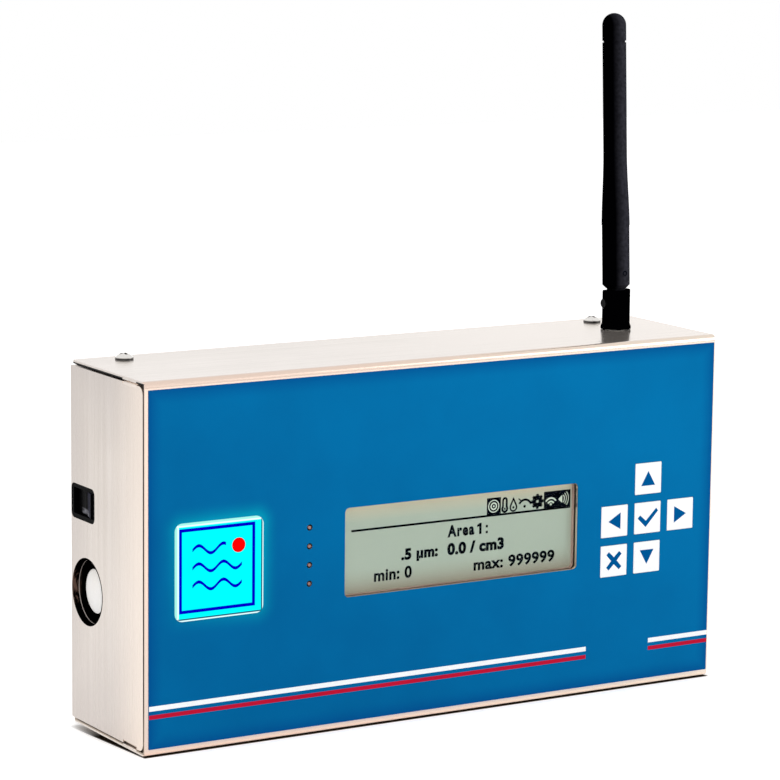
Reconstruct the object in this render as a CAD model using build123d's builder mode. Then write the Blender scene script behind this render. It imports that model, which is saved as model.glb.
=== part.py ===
from build123d import *
import os
from math import cos, hypot, radians, sin

# Airborne particle counter in a folded stainless enclosure, millimetres, +Z up.
# X runs along the face from left to right, Y from the face to the back.
# The origin lies under the middle of the enclosure, on the plane of the lower screw heads.

# ---------------------------------------------------------------- enclosure
cover_width = 210.0
cover_height = 115.0
cover_depth = 51.5
sheet = 1.0
cover_bend_radius = 2.0
chassis_bend_radius = 1.5
flange_setback = 1.8
flange_corner = 1.5
seam_gap = 0.65
base_seam_gap = 0.3
face_seam_gap = 0.4
plate_corner = 2.5
seam_tab_start = 5.7
seam_tab_length = 9.0
seam_tab_reach = 7.0
seam_tab_clearance = 0.15
rear_corner = 2.2
ear_root = 8.0

# ---------------------------------------------------------------- cover screws
screw_radius = 1.45
screw_length = 7.0
screw_head_radius = 2.9
screw_head_height = 2.0
screw_hole_radius = 1.7
screw_inset_left = 14.8
screw_inset_right = 19.8
screw_inset_back = 8.6
recess_width = 0.8
recess_length = 3.2
recess_depth = 1.1
screw_dome_edge = 0.7
nut_tab_width = 14.0
nut_tab_length = 15.0
nut_radius = 3.2
nut_thickness = 2.2
nut_bore_radius = 1.5

# ---------------------------------------------------------------- face sheet and display
overlay_thickness = 0.3
overlay_margin_left = 1.2
overlay_margin_right = 0.7
overlay_margin_bottom = 2.3
overlay_margin_top = 2.5
window_inset_left = 69.3
window_inset_right = 53.6
display_height = 56.2
window_width = cover_width - window_inset_left - window_inset_right
window_height = 28.4
window_corner = 1.5
window_lap = 2.0
window_thickness = 1.0
display_recess = 3.5
lcd_glass_thickness = 1.8
backlight_thickness = 1.0
lcd_frame_wall = 2.8
lcd_frame_floor = 0.7
fit_clearance = 0.1

# ---------------------------------------------------------------- badge
badge_size = 30.3
badge_inset = 25.0
badge_height = 56.0
badge_corner = 2.5
badge_hole_corner = badge_corner / 2
badge_front_round = 0.5
badge_proud = 0.8
badge_rim = 1.1
badge_ledge = 0.6
badge_panel_thickness = 1.2
badge_panel_sink = 1.9
badge_seat = 0.8
badge_neck_wall = 0.6
badge_box_wall = 2.4
badge_led_size = 5.0
badge_led_thickness = 1.0
badge_led_pitch = 12.0

# ---------------------------------------------------------------- indicator lights
indicator_count = 4
indicator_inset = 56.7
indicator_height = 56.7
indicator_pitch = 5.9
indicator_hole_radius = 1.0
indicator_pipe_radius = 0.5
indicator_foot_radius = 1.6
indicator_foot_thickness = 1.0
indicator_led_size = 1.6
indicator_led_thickness = 0.6

# ---------------------------------------------------------------- keys
key_size = 10.3
key_pitch = 13.1
key_inset = 26.0
key_height = 56.35
key_corner = 0.3
key_side_clearance = 0.12
key_cover_clearance = 0.3
key_travel = 0.4
key_flange = 0.7
key_flange_thickness = 0.8
key_stop_gap = 0.05
switch_gap = key_travel + key_stop_gap
key_stem_radius = 1.8
key_stem_length = 0.5
switch_size = 6.0
switch_plunger_radius = 1.75
switch_plunger_height = 0.7

# ---------------------------------------------------------------- display board
board_thickness = 1.6
display_board_depth = 7.0
display_board_margin = 8.0
display_board_low = 30.0
display_board_high = 83.0
board_edge_inset = 4.0
board_stud_radius = 1.45
board_stud_end = 12.5
board_hole_radius = 1.6
spacer_radius = 3.0
board_nut_radius = 2.75
board_nut_thickness = 2.4

# ---------------------------------------------------------------- antenna
antenna_inset = 22.1
antenna_lean = 2.9
antenna_radius = 4.6
antenna_foot_radius = 5.0
antenna_foot_height = 0.8
antenna_foot_taper = 1.0
antenna_seat_gap = 0.3
antenna_knuckle_height = 13.3
antenna_pin_height = 8.9
antenna_pin_radius = 0.9
antenna_pin_head_radius = 1.45
antenna_pin_head_proud = 0.7
antenna_pin_head_sink = 0.3
tongue_radius = 2.5
tongue_thickness = 4.0
tongue_clearance = 0.15
cheek_radius = 4.45
shoulder_distance = 4.8
sleeve_radius = 4.55
sleeve_chamfer = 1.2
sleeve_end = 25.7
tube_start_radius = 4.65
tube_waist_radius = 3.9
tube_waist = 49.7
tube_end = 85.6
tube_bore_radius = 2.6
spigot_radius = 3.2
spigot_length = 5.0
whip_length = 95.2
tip_neck_radius = 3.55
tip_neck_length = 0.6
tip_radius = 3.92
element_radius = 2.0
element_end = 80.0
running_fit = 0.06
jack_radius = 3.175
jack_flange_radius = 3.6
jack_flange_thickness = 0.8
jack_height = 5.0
jack_depth = 9.0
jack_bore_radius = 1.0
jack_nut_radius = 4.6
jack_nut_thickness = 2.2
coupling_radius = 3.75
coupling_rim_radius = 4.0
coupling_rim_height = 2.0
coupling_top = 5.2

# ---------------------------------------------------------------- power switch
power_switch_back_inset = 9.4
power_switch_height = 71.0
switch_hole_length = 16.2
switch_hole_width = 11.0
switch_hole_corner = 2.0
switch_frame_sink = 0.2
switch_flange_width = 14.0
switch_flange_thickness = 1.4
switch_body_length = 15.0
switch_body_width = 10.0
switch_body_depth = 13.0
switch_body_floor = 2.0
rocker_half_length = 6.2
rocker_half_root = 4.6
rocker_width = 7.6
rocker_pivot_depth = 2.6
rocker_rise = 1.9
rocker_dip = 1.3
rocker_skirt = 0.8
rocker_root = 3.0
rocker_heel = 4.5
rocker_end_gap = 0.25
rocker_side_gap = 0.35
rocker_tilt = 9.0
rocker_pin_radius = 0.8
rocker_pin_length = 0.45
terminal_width = 4.8
terminal_thickness = 0.8
terminal_length = 6.0
terminal_pitch = 4.4

# ---------------------------------------------------------------- sample port and sensor
port_back_inset = 12.3
port_height = 43.4
port_radius = 10.65
port_rim = 0.5
port_depth = 2.4
port_flange_radius = 12.6
port_flange_flat_gap = 0.6
port_flange_thickness = 1.6
port_length = 9.0
filter_radius = 7.0
filter_thickness = 3.0
filter_dome = 0.5
nozzle_radius = 4.5
nozzle_bore_radius = 2.5
sensor_inset = 15.0
sensor_length = 48.0
sensor_width = 26.0
sensor_height = 36.0
sensor_wall = 2.5
sensor_lid_thickness = 2.0
sensor_channel_radius = 4.0
laser_radius = 4.5
laser_length = 14.0
sensor_screw_radius = 1.2
sensor_screw_head_radius = 2.2
sensor_screw_head_height = 1.4
fan_side_gap = 0.5
fan_size = sensor_width - 2 * fan_side_gap
fan_wall = 0.9
fan_corner = 2.0
fan_hub_gap = 0.4
fan_thickness = 8.0
fan_bore_radius = fan_size / 2 - fan_wall
fan_hub_radius = 5.0
fan_blade_gap = 0.5
fan_blade_count = 7
fan_blade_thickness = 0.8
fan_blade_angle = 32.0
fan_blade_height = 4.0
fan_blade_width = 3.8
fan_plate_thickness = 1.2
fan_spoke_width = 2.0
fan_shaft_radius = 0.9
outlet_slot_count = 7
outlet_slot_width = 2.2
outlet_slot_length = 22.0
outlet_slot_pitch = 4.6
outlet_height = 60.0

# ---------------------------------------------------------------- main board
main_board_fan_gap = 13.0
main_board_height = 78.0
main_board_right_inset = 22.0
main_board_left_inset = sensor_inset + sensor_length + fan_thickness + main_board_fan_gap
main_board_width = cover_width - main_board_left_inset - main_board_right_inset
main_board_low = 14.0
standoff_height = 6.0
standoff_radius = 2.75
board_screw_radius = 1.4
board_screw_head_radius = 2.7
board_screw_head_height = 1.8
board_screw_grip = 3.6
radio_width = 24.0
radio_height = 17.0
radio_thickness = 3.0
radio_corner = 0.4
buzzer_radius = 6.0
buzzer_height = 9.0
buzzer_hole_radius = 1.2
jack_inset_back = 12.0
jack_centre_height = 24.0
power_jack_radius = 5.5
power_jack_flange_radius = 6.8
power_jack_flange_thickness = 1.5
power_jack_length = 12.0
power_jack_bore_radius = 3.2
power_jack_bore_depth = 9.5
power_jack_pin_radius = 1.0
power_jack_nut_radius = 7.4
power_jack_nut_thickness = 2.0

# ---------------------------------------------------------------- shared places
left_x = -cover_width / 2
right_x = cover_width / 2
front_y = -cover_depth / 2
back_y = cover_depth / 2
base_z = screw_head_height
top_z = base_z + cover_height

badge_x = left_x + badge_inset
badge_z = base_z + badge_height
indicator_x = left_x + indicator_inset
indicator_z = base_z + indicator_height
display_x = left_x + window_inset_left + window_width / 2
display_z = base_z + display_height
key_x = right_x - key_inset
key_z = base_z + key_height
key_places = {
    "key_up": (key_x, key_z + key_pitch),
    "key_left": (key_x - key_pitch, key_z),
    "key_confirm": (key_x, key_z),
    "key_right": (key_x + key_pitch, key_z),
    "key_cancel": (key_x - key_pitch, key_z - key_pitch),
    "key_down": (key_x, key_z - key_pitch),
}
indicator_places = [
    (indicator_x, indicator_z + (row - (indicator_count - 1) / 2) * indicator_pitch)
    for row in range(indicator_count)
]
screw_places = [
    (left_x + screw_inset_left, back_y - screw_inset_back),
    (right_x - screw_inset_right, back_y - screw_inset_back),
]
antenna_x = right_x - antenna_inset
power_switch_y = back_y - power_switch_back_inset
power_switch_z = base_z + power_switch_height
port_y = back_y - port_back_inset
port_z = base_z + port_height
power_jack_y = back_y - jack_inset_back
power_jack_z = base_z + jack_centre_height


def face_plane(depth):
    """Plane at a depth behind the steel face, looking out of the face."""
    return Plane.XZ.offset(-(front_y + depth))


def end_plane(inset):
    """Plane at an inset from the left end, looking into the enclosure."""
    return Plane.YZ.offset(left_x + inset)


def save(piece, name):
    """Labels a finished piece and writes its STEP file."""
    piece.part.label = name
    export_step(piece.part, f"parts/{name}.step")


os.makedirs("parts", exist_ok=True)

# ================================================================ front cover
# One sheet folded into a face, a roof and a floor.
flange_end_y = back_y - flange_setback
badge_neck = badge_size - 2 * badge_rim + 2 * badge_neck_wall
badge_hole = badge_neck + 2 * fit_clearance
key_hole = key_size + 2 * key_cover_clearance

with BuildPart() as front_cover:
    with BuildSketch(Plane.YZ):
        with BuildLine():
            FilletPolyline(
                (flange_end_y, base_z),
                (front_y, base_z),
                (front_y, top_z),
                (flange_end_y, top_z),
                radius=cover_bend_radius,
            )
            offset(amount=sheet, side=Side.RIGHT)
        make_face()
    extrude(amount=cover_width / 2, both=True)
    fillet(front_cover.edges().filter_by(Axis.Z).group_by(Axis.Y)[-1], radius=flange_corner)
    with BuildSketch(face_plane(sheet)):
        with Locations((display_x, display_z)):
            RectangleRounded(window_width, window_height, window_corner)
        with Locations((badge_x, badge_z)):
            RectangleRounded(badge_hole, badge_hole, badge_hole_corner)
        with Locations(indicator_places):
            Circle(indicator_hole_radius)
        with Locations(list(key_places.values())):
            Rectangle(key_hole, key_hole)
    extrude(amount=sheet, mode=Mode.SUBTRACT)
    with BuildSketch(Plane.XY.offset(base_z)):
        with Locations(screw_places):
            Circle(screw_hole_radius)
    extrude(amount=cover_height, mode=Mode.SUBTRACT)
    with BuildSketch(Plane.XY.offset(top_z - sheet)):
        with Locations((antenna_x, 0)):
            Circle(jack_radius + fit_clearance)
    extrude(amount=sheet, mode=Mode.SUBTRACT)
save(front_cover, "front_cover")

# ================================================================ rear chassis
# One sheet folded into two end plates and a back, with ears folded in under the cover.
plate_low_z = base_z + sheet + base_seam_gap
plate_high_z = top_z - sheet - seam_gap
plate_front_y = front_y + sheet + face_seam_gap
ear_high_z = top_z - sheet - seam_tab_clearance
ear_low_z = base_z + sheet + seam_tab_clearance
port_hole_radius = port_radius + fit_clearance / 2

with BuildPart() as rear_chassis:
    with BuildSketch(Plane.XY.offset(plate_low_z)):
        with BuildLine():
            FilletPolyline(
                (left_x, plate_front_y),
                (left_x, back_y),
                (right_x, back_y),
                (right_x, plate_front_y),
                radius=chassis_bend_radius,
            )
            offset(amount=sheet, side=Side.RIGHT)
        make_face()
    extrude(amount=plate_high_z - plate_low_z)
    fillet(rear_chassis.edges().filter_by(Axis.X).group_by(Axis.Y)[0], radius=plate_corner)
    # The bends are cut round where they meet the roof and the floor.
    for side in (-1, 1):
        with BuildSketch(Plane.YZ.offset(side * (right_x - rear_corner))):
            with Locations((back_y, plate_low_z), (back_y, plate_high_z)):
                Rectangle(2 * rear_corner, 2 * rear_corner)
            with Locations(
                (back_y - rear_corner, plate_low_z + rear_corner),
                (back_y - rear_corner, plate_high_z - rear_corner),
            ):
                Circle(rear_corner, mode=Mode.SUBTRACT)
        extrude(amount=side * rear_corner, mode=Mode.SUBTRACT)
    # Room for the ears and the nut tabs, which rise from the sheet's edges.
    ear_feet = (plate_high_z - ear_root / 2, plate_low_z + ear_root / 2)
    with BuildSketch(Plane.YZ.offset(left_x)):
        with Locations([(front_y + seam_tab_start + seam_tab_length / 2, foot_z) for foot_z in ear_feet]):
            Rectangle(seam_tab_length, ear_root)
    extrude(amount=cover_width, mode=Mode.SUBTRACT)
    with BuildSketch(face_plane(cover_depth)):
        with Locations([(place_x, foot_z) for place_x, _ in screw_places for foot_z in ear_feet]):
            Rectangle(nut_tab_width, ear_root)
    extrude(amount=sheet, mode=Mode.SUBTRACT)
    # Ears near the face, at the top and bottom of both ends.
    for side in (-1, 1):
        for low, high in ((plate_high_z - ear_root, ear_high_z), (plate_low_z + ear_root, ear_low_z)):
            with BuildSketch(face_plane(seam_tab_start)):
                with BuildLine():
                    FilletPolyline(
                        (side * right_x, low),
                        (side * right_x, high),
                        (side * (right_x - seam_tab_reach), high),
                        radius=chassis_bend_radius,
                    )
                    inward = Side.LEFT if (side < 0) == (high < low) else Side.RIGHT
                    offset(amount=sheet, side=inward)
                make_face()
            extrude(amount=-seam_tab_length)
    # Tabs folded forward from the back carry the cover screws' nuts.
    for place_x, place_y in screw_places:
        for low, high in ((plate_high_z - ear_root, ear_high_z), (plate_low_z + ear_root, ear_low_z)):
            with BuildSketch(Plane.YZ.offset(place_x - nut_tab_width / 2)):
                with BuildLine():
                    FilletPolyline(
                        (back_y, low),
                        (back_y, high),
                        (back_y - nut_tab_length, high),
                        radius=chassis_bend_radius,
                    )
                    offset(amount=sheet, side=Side.LEFT if low < high else Side.RIGHT)
                make_face()
            extrude(amount=nut_tab_width)
    with BuildSketch(Plane.XY.offset(base_z)):
        with Locations(screw_places):
            Circle(nut_bore_radius + fit_clearance)
    extrude(amount=cover_height, mode=Mode.SUBTRACT)
    # Openings of the left end: sample port and power switch.
    with BuildSketch(end_plane(0)):
        with Locations((port_y, port_z)):
            Circle(port_hole_radius)
        with Locations((power_switch_y, power_switch_z)):
            RectangleRounded(switch_hole_length, switch_hole_width, switch_hole_corner)
    extrude(amount=chassis_bend_radius, mode=Mode.SUBTRACT)
    # Openings of the right end: air outlet and power jack.
    with BuildSketch(Plane.YZ.offset(right_x - sheet)):
        with Locations((0, base_z + outlet_height)):
            with GridLocations(0, outlet_slot_pitch, 1, outlet_slot_count):
                SlotOverall(outlet_slot_length, outlet_slot_width)
        with Locations((power_jack_y, power_jack_z)):
            Circle(power_jack_radius + fit_clearance)
    extrude(amount=sheet, mode=Mode.SUBTRACT)
save(rear_chassis, "rear_chassis")

# ================================================================ cover screws and nuts
# Cross-recessed pan heads, two on the roof and two under the floor.
with BuildPart() as cover_screws:
    for seat_z, side in ((top_z, 1), (base_z, -1)):
        for place_x, place_y in screw_places:
            screw_section = Plane(
                origin=(place_x, place_y, seat_z), x_dir=(side, 0, 0), z_dir=(0, -1, 0)
            )
            with BuildSketch(screw_section):
                with BuildLine():
                    Polyline(
                        (0, screw_head_height),
                        (0, -screw_length),
                        (screw_radius, -screw_length),
                        (screw_radius, 0),
                        (screw_head_radius, 0),
                        (screw_head_radius, screw_dome_edge),
                    )
                    TangentArc((0, screw_head_height), (screw_head_radius, screw_dome_edge), tangent=(1, 0))
                make_face()
            revolve(axis=Axis((place_x, place_y, seat_z), (0, 0, 1)))
            crown = Plane((place_x, place_y, seat_z + side * screw_head_height), z_dir=(0, 0, side))
            with BuildSketch(crown):
                Rectangle(recess_length, recess_width)
                Rectangle(recess_width, recess_length)
            extrude(amount=-recess_depth, mode=Mode.SUBTRACT)
save(cover_screws, "cover_screws")

with BuildPart() as clinch_nuts:
    for ear_z, direction in ((ear_high_z - sheet, -1), (ear_low_z + sheet, 1)):
        with BuildSketch(Plane.XY.offset(ear_z)):
            with Locations(screw_places):
                Circle(nut_radius)
                Circle(nut_bore_radius, mode=Mode.SUBTRACT)
        extrude(amount=direction * nut_thickness)
save(clinch_nuts, "clinch_nuts")

# ================================================================ printed face sheet
overlay_width = cover_width - overlay_margin_left - overlay_margin_right
overlay_height = cover_height - overlay_margin_bottom - overlay_margin_top
overlay_x = (overlay_margin_left - overlay_margin_right) / 2
overlay_z = base_z + overlay_margin_bottom + overlay_height / 2

with BuildPart() as face_overlay:
    with BuildSketch(face_plane(0)):
        with Locations((overlay_x, overlay_z)):
            Rectangle(overlay_width, overlay_height)
        with Locations((display_x, display_z)):
            RectangleRounded(window_width, window_height, window_corner, mode=Mode.SUBTRACT)
        with Locations((badge_x, badge_z)):
            RectangleRounded(badge_hole, badge_hole, badge_hole_corner, mode=Mode.SUBTRACT)
        with Locations(indicator_places):
            Circle(indicator_hole_radius, mode=Mode.SUBTRACT)
        with Locations(list(key_places.values())):
            Rectangle(
                key_size + 2 * key_side_clearance,
                key_size + 2 * key_side_clearance,
                mode=Mode.SUBTRACT,
            )
    extrude(amount=overlay_thickness)
save(face_overlay, "face_overlay")

# ================================================================ display stack
pane_width = window_width + 2 * window_lap
pane_height = window_height + 2 * window_lap
lcd_back = display_recess + lcd_glass_thickness
backlight_back = lcd_back + backlight_thickness
lcd_pocket_width = pane_width + 2 * fit_clearance
lcd_pocket_height = pane_height + 2 * fit_clearance

with BuildPart() as display_window:
    with BuildSketch(face_plane(sheet + window_thickness)):
        with Locations((display_x, display_z)):
            Rectangle(pane_width, pane_height)
    extrude(amount=window_thickness)
save(display_window, "display_window")

with BuildPart() as display_gasket:
    with BuildSketch(face_plane(display_recess)):
        with Locations((display_x, display_z)):
            Rectangle(pane_width, pane_height)
            RectangleRounded(window_width, window_height, window_corner, mode=Mode.SUBTRACT)
    extrude(amount=display_recess - sheet - window_thickness)
save(display_gasket, "display_gasket")

with BuildPart() as lcd_glass:
    with BuildSketch(face_plane(lcd_back)):
        with Locations((display_x, display_z)):
            Rectangle(pane_width, pane_height)
    extrude(amount=lcd_glass_thickness)
save(lcd_glass, "lcd_glass")

with BuildPart() as lcd_backlight:
    with BuildSketch(face_plane(backlight_back)):
        with Locations((display_x, display_z)):
            Rectangle(pane_width, pane_height)
    extrude(amount=backlight_thickness)
save(lcd_backlight, "lcd_backlight")

with BuildPart() as lcd_frame:
    with BuildSketch(face_plane(display_board_depth)):
        with Locations((display_x, display_z)):
            Rectangle(lcd_pocket_width + 2 * lcd_frame_wall, lcd_pocket_height + 2 * lcd_frame_wall)
    extrude(amount=display_board_depth - sheet)
    with BuildSketch(face_plane(display_board_depth - lcd_frame_floor)):
        with Locations((display_x, display_z)):
            Rectangle(lcd_pocket_width, lcd_pocket_height)
    extrude(amount=display_board_depth - lcd_frame_floor - sheet, mode=Mode.SUBTRACT)
save(lcd_frame, "lcd_frame")

# ================================================================ lit badge
badge_opening = badge_size - 2 * badge_rim
badge_panel_size = badge_opening - 2 * fit_clearance
badge_front = -overlay_thickness - badge_proud
badge_panel_front = badge_front + badge_panel_sink
badge_panel_back = badge_panel_front + badge_panel_thickness
badge_neck_back = badge_panel_back + badge_seat

with BuildPart() as badge_rim_frame:
    with BuildSketch(face_plane(badge_neck_back)):
        with Locations((badge_x, badge_z)):
            RectangleRounded(badge_neck, badge_neck, badge_hole_corner)
    extrude(amount=badge_neck_back + overlay_thickness)
    with BuildSketch(face_plane(-overlay_thickness)):
        with Locations((badge_x, badge_z)):
            RectangleRounded(badge_size, badge_size, badge_corner)
    extrude(amount=badge_proud)
    outer_lip = badge_rim_frame.faces().sort_by(Axis.Y)[0].edges()
    fillet(outer_lip, radius=badge_front_round)
    with BuildSketch(face_plane(badge_panel_back)):
        with Locations((badge_x, badge_z)):
            Rectangle(badge_opening, badge_opening)
    extrude(amount=badge_panel_back - badge_front, mode=Mode.SUBTRACT)
    with BuildSketch(face_plane(badge_neck_back)):
        with Locations((badge_x, badge_z)):
            Rectangle(badge_opening - 2 * badge_ledge, badge_opening - 2 * badge_ledge)
    extrude(amount=badge_seat, mode=Mode.SUBTRACT)
save(badge_rim_frame, "badge_rim")

with BuildPart() as badge_panel:
    with BuildSketch(face_plane(badge_panel_back)):
        with Locations((badge_x, badge_z)):
            Rectangle(badge_panel_size, badge_panel_size)
    extrude(amount=badge_panel_thickness)
save(badge_panel, "badge_panel")

with BuildPart() as badge_light_box:
    with BuildSketch(face_plane(display_board_depth)):
        with Locations((badge_x, badge_z)):
            RectangleRounded(badge_neck + 2 * badge_box_wall, badge_neck + 2 * badge_box_wall, badge_corner)
            Rectangle(badge_opening - 2 * badge_ledge, badge_opening - 2 * badge_ledge, mode=Mode.SUBTRACT)
    extrude(amount=display_board_depth - sheet)
    with BuildSketch(face_plane(badge_neck_back)):
        with Locations((badge_x, badge_z)):
            RectangleRounded(badge_hole, badge_hole, badge_hole_corner)
    extrude(amount=badge_neck_back - sheet, mode=Mode.SUBTRACT)
save(badge_light_box, "badge_light_box")

with BuildPart() as badge_leds:
    with BuildSketch(face_plane(display_board_depth)):
        with Locations((badge_x, badge_z)):
            with GridLocations(badge_led_pitch, badge_led_pitch, 2, 2):
                Rectangle(badge_led_size, badge_led_size)
    extrude(amount=badge_led_thickness)
save(badge_leds, "badge_leds")

# ================================================================ indicator lights
indicator_led_front = display_board_depth - indicator_led_thickness

with BuildPart() as indicator_leds:
    with BuildSketch(face_plane(display_board_depth)):
        with Locations(indicator_places):
            Rectangle(indicator_led_size, indicator_led_size)
    extrude(amount=indicator_led_thickness)
save(indicator_leds, "indicator_leds")

with BuildPart() as indicator_pipes:
    with BuildSketch(face_plane(indicator_led_front)):
        with Locations(indicator_places):
            Circle(indicator_foot_radius)
    extrude(amount=indicator_foot_thickness)
    with BuildSketch(face_plane(indicator_led_front)):
        with Locations(indicator_places):
            Circle(indicator_pipe_radius)
    extrude(amount=indicator_led_front + overlay_thickness / 2)
save(indicator_pipes, "indicator_pipes")

# ================================================================ keys and their switches
key_back = sheet + key_stop_gap + key_flange_thickness
key_stem_back = key_back + key_stem_length
switch_front = key_stem_back + switch_gap

for key_name, key_place in key_places.items():
    with BuildPart() as key:
        with BuildSketch(face_plane(key_back)):
            with Locations(key_place):
                RectangleRounded(key_size, key_size, key_corner)
        extrude(amount=key_back + overlay_thickness)
        with BuildSketch(face_plane(key_back)):
            with Locations(key_place):
                Rectangle(key_size + 2 * key_flange, key_size + 2 * key_flange)
        extrude(amount=key_flange_thickness)
        with BuildSketch(face_plane(key_stem_back)):
            with Locations(key_place):
                Circle(key_stem_radius)
        extrude(amount=key_stem_length)
    save(key, key_name)

with BuildPart() as key_switches:
    with BuildSketch(face_plane(display_board_depth)):
        with Locations(list(key_places.values())):
            Rectangle(switch_size, switch_size)
    extrude(amount=display_board_depth - switch_front - switch_plunger_height)
    with BuildSketch(face_plane(switch_front + switch_plunger_height)):
        with Locations(list(key_places.values())):
            Circle(switch_plunger_radius)
    extrude(amount=switch_plunger_height)
save(key_switches, "key_switches")

# ================================================================ display board and its studs
display_board_width = cover_width - 2 * display_board_margin
display_board_height = display_board_high - display_board_low
display_board_z = base_z + (display_board_high + display_board_low) / 2
display_board_back = display_board_depth + board_thickness
stud_span_x = display_board_width - 2 * board_edge_inset
stud_span_z = display_board_height - 2 * board_edge_inset
stud_places = [
    (column * stud_span_x / 2, display_board_z + row * stud_span_z / 2)
    for column in (-1, 0, 1)
    for row in (-1, 1)
]

with BuildPart() as display_board:
    with BuildSketch(face_plane(display_board_back)):
        with Locations((0, display_board_z)):
            RectangleRounded(display_board_width, display_board_height, board_edge_inset / 2)
        with Locations(stud_places):
            Circle(board_hole_radius, mode=Mode.SUBTRACT)
    extrude(amount=board_thickness)
save(display_board, "display_board")

with BuildPart() as board_studs:
    with BuildSketch(face_plane(board_stud_end)):
        with Locations(stud_places):
            Circle(board_stud_radius)
    extrude(amount=board_stud_end - sheet)
save(board_studs, "board_studs")

with BuildPart() as board_spacers:
    with BuildSketch(face_plane(display_board_depth)):
        with Locations(stud_places):
            Circle(spacer_radius)
            Circle(board_hole_radius, mode=Mode.SUBTRACT)
    extrude(amount=display_board_depth - sheet)
save(board_spacers, "board_spacers")

with BuildPart() as board_nuts:
    with BuildSketch(face_plane(display_board_back + board_nut_thickness)):
        with Locations(stud_places):
            RegularPolygon(board_nut_radius, 6, major_radius=False)
            Circle(board_stud_radius, mode=Mode.SUBTRACT)
    extrude(amount=board_nut_thickness)
save(board_nuts, "board_nuts")

# ================================================================ antenna jack
# The threaded barrel passes up through the roof and is clamped by a nut below it.
antenna_axis = Axis((antenna_x, 0, top_z), (0, 0, 1))
antenna_section = Plane(origin=(antenna_x, 0, top_z), x_dir=(1, 0, 0), z_dir=(0, -1, 0))

with BuildPart() as antenna_jack:
    with BuildSketch(antenna_section):
        with BuildLine():
            Polyline(
                (jack_bore_radius, -jack_depth),
                (jack_radius, -jack_depth),
                (jack_radius, 0),
                (jack_flange_radius, 0),
                (jack_flange_radius, jack_flange_thickness),
                (jack_radius, jack_flange_thickness),
                (jack_radius, jack_height),
                (jack_bore_radius, jack_height),
                close=True,
            )
        make_face()
    revolve(axis=antenna_axis)
save(antenna_jack, "antenna_jack")

with BuildPart() as antenna_jack_nut:
    with BuildSketch(Plane.XY.offset(top_z - sheet - jack_nut_thickness)):
        with Locations((antenna_x, 0)):
            RegularPolygon(jack_nut_radius, 6, major_radius=False)
            Circle(jack_radius, mode=Mode.SUBTRACT)
    extrude(amount=jack_nut_thickness)
save(antenna_jack_nut, "antenna_jack_nut")

# The coupling is screwed on the jack, and its rim holds the turning knuckle down.
coupling_bottom = jack_flange_thickness
with BuildPart() as antenna_coupling:
    with BuildSketch(antenna_section):
        with BuildLine():
            Polyline(
                (jack_radius, coupling_bottom),
                (coupling_radius, coupling_bottom),
                (coupling_radius, coupling_top - coupling_rim_height),
                (coupling_rim_radius, coupling_top - coupling_rim_height),
                (coupling_rim_radius, coupling_top),
                (jack_radius, coupling_top),
                close=True,
            )
        make_face()
    revolve(axis=antenna_axis)
save(antenna_coupling, "antenna_coupling")

# ================================================================ antenna knuckle
slot_width = tongue_thickness + 2 * tongue_clearance
slot_floor = antenna_pin_height - tongue_radius - 2 * tongue_clearance
rim_seat = coupling_top - coupling_rim_height - antenna_seat_gap
cavity_top = coupling_top + antenna_seat_gap
foot_top = antenna_seat_gap + antenna_foot_height
pin_head_seat = antenna_radius - antenna_pin_head_sink
hinge = (antenna_x, 0, top_z + antenna_pin_height)
hinge_across = Plane(origin=hinge, x_dir=(0, 1, 0), z_dir=(1, 0, 0))

with BuildPart() as antenna_knuckle:
    with BuildSketch(antenna_section):
        with BuildLine():
            Polyline(
                (0, antenna_seat_gap),
                (antenna_foot_radius, antenna_seat_gap),
                (antenna_foot_radius, foot_top),
                (antenna_radius, foot_top + antenna_foot_taper),
                (antenna_radius, antenna_knuckle_height),
                (0, antenna_knuckle_height),
                close=True,
            )
        make_face()
    revolve(axis=antenna_axis)
    with BuildSketch(antenna_section):
        with BuildLine():
            Polyline(
                (0, antenna_seat_gap),
                (coupling_radius + running_fit, antenna_seat_gap),
                (coupling_radius + running_fit, rim_seat),
                (coupling_rim_radius + running_fit, rim_seat),
                (coupling_rim_radius + running_fit, cavity_top),
                (0, cavity_top),
                close=True,
            )
        make_face()
    revolve(axis=antenna_axis, mode=Mode.SUBTRACT)
    # The slot for the tongue is open at the top and towards the back.
    slot_front = tongue_radius + tongue_clearance
    with BuildSketch(Plane.XY.offset(top_z + slot_floor)):
        with Locations((antenna_x, -slot_front)):
            Rectangle(slot_width, slot_front + antenna_foot_radius, align=(Align.CENTER, Align.MIN))
    extrude(amount=antenna_knuckle_height - slot_floor, mode=Mode.SUBTRACT)
    # Both cheeks are rounded about the pin on the side to which the whip folds.
    with BuildSketch(hinge_across):
        Rectangle(2 * antenna_radius, 2 * antenna_radius, align=(Align.MIN, Align.MIN))
        Circle(cheek_radius, mode=Mode.SUBTRACT)
    extrude(amount=antenna_foot_radius, both=True, mode=Mode.SUBTRACT)
    with BuildSketch(hinge_across):
        Circle(antenna_pin_radius)
    extrude(amount=antenna_foot_radius, both=True, mode=Mode.SUBTRACT)
    with BuildSketch(hinge_across.offset(-pin_head_seat)):
        Circle(antenna_pin_head_radius + fit_clearance)
    extrude(amount=-antenna_foot_radius, mode=Mode.SUBTRACT)
save(antenna_knuckle, "antenna_knuckle")

with BuildPart() as antenna_pin:
    with BuildSketch(hinge_across.offset(-pin_head_seat)):
        Circle(antenna_pin_radius)
    extrude(amount=pin_head_seat + antenna_radius - 2 * antenna_pin_head_sink)
    with BuildSketch(hinge_across.offset(-pin_head_seat)):
        Circle(antenna_pin_head_radius)
    extrude(amount=-(antenna_pin_head_sink + antenna_pin_head_proud))
save(antenna_pin, "antenna_pin")

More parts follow.
